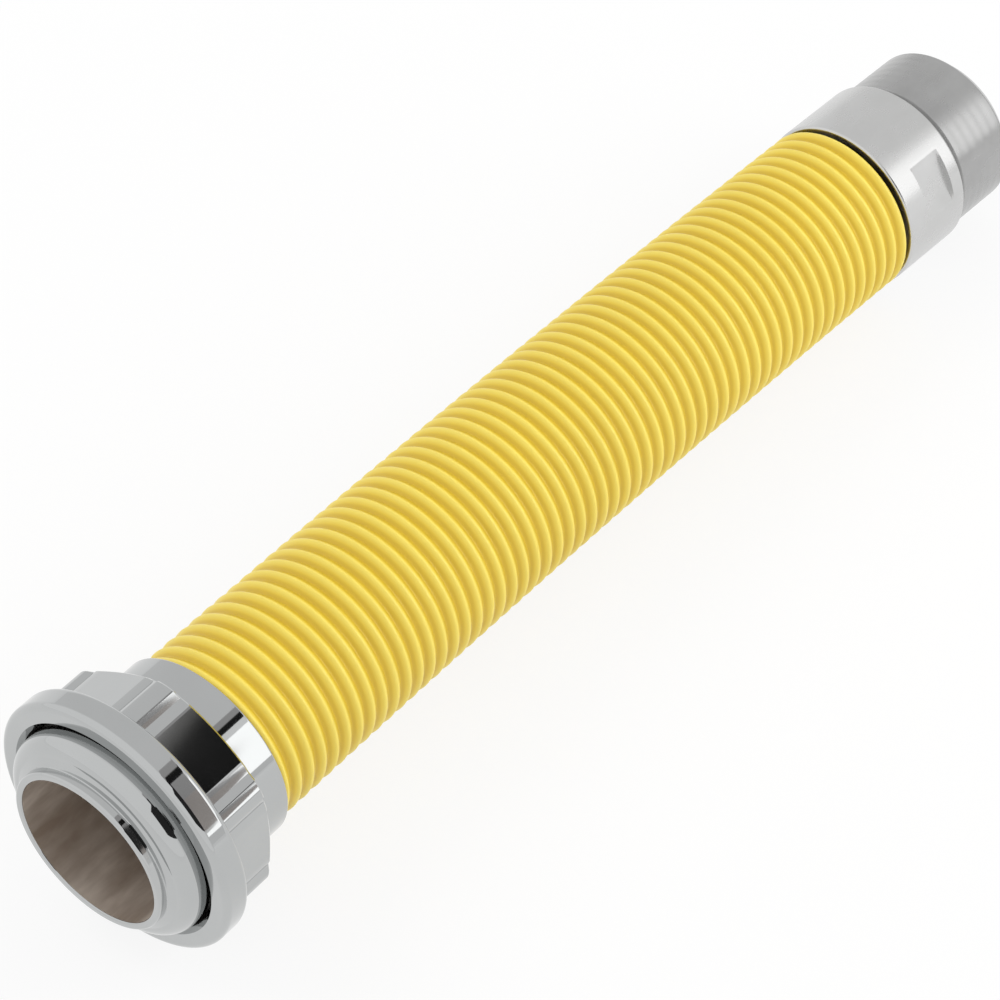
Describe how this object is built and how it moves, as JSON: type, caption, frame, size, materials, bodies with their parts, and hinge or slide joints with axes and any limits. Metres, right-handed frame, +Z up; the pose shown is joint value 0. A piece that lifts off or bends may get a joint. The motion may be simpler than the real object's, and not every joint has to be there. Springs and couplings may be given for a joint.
{
  "type": "flexible meter hose",
  "caption": "Short flexible gas meter hose: corrugated steel bellows in a ribbed yellow jacket, loose hexagon union nut at one end, male pipe thread with wrench flats at the other.",
  "frame": {"origin": "on the ground, midway between the two ends, under the middle of the nut's flange", "axes": "+X along the hose from the nut end to the threaded end, +Y to the side that the hose bows towards, +Z up; the hose lies on its side"},
  "size_m": [0.2415, 0.0505, 0.0506],
  "materials": {
    "tail_chrome": "bright plated, bore left satin brown-grey",
    "nut_chrome": "bright plated",
    "bellows_steel": "bare formed stainless steel",
    "jacket_yellow": "satin yellow plastic",
    "fitting_steel": "satin plated, slightly mottled"
  },
  "bodies": {
    "hose": {"near_tail": "tail_chrome", "steel_bellows": "bellows_steel", "yellow_jacket": "jacket_yellow", "far_fitting": "fitting_steel"},
    "nut": {"swivel_nut": "nut_chrome"}
  },
  "joints": [
    {"name": "nut_spin", "type": "hinge", "parent": "hose", "child": "nut", "pos_m": [-0.09103, 0.00058, 0.0244], "axis": [-0.9985, -0.0313, 0.0456], "continuous": true}
  ]
}
